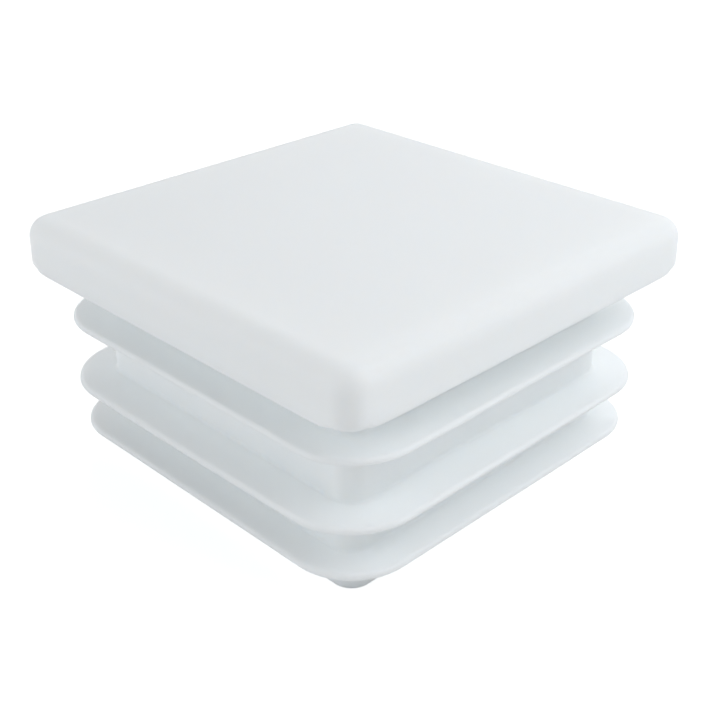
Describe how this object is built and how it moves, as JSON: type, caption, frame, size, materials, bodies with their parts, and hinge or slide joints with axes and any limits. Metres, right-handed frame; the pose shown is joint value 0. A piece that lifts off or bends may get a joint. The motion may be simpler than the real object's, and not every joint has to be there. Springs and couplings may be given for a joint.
{
  "type": "tube end cap",
  "caption": "Square plug-in end cap for a tube: a radiused head plate over a hollow stem ringed by flexible fins.",
  "frame": {"origin": "centre of the shoulder, the flat underside of the head that seats on the end of the tube", "axes": "+Z along the cap's axis, out of the tube towards the head's flat top; X and Y square to the sides"},
  "size_m": [0.04, 0.04, 0.0225],
  "materials": {
    "white_polyethylene": "as moulded, satin, slightly translucent white"
  },
  "bodies": {
    "root": {"end_cap": "white_polyethylene"}
  },
  "joints": []
}
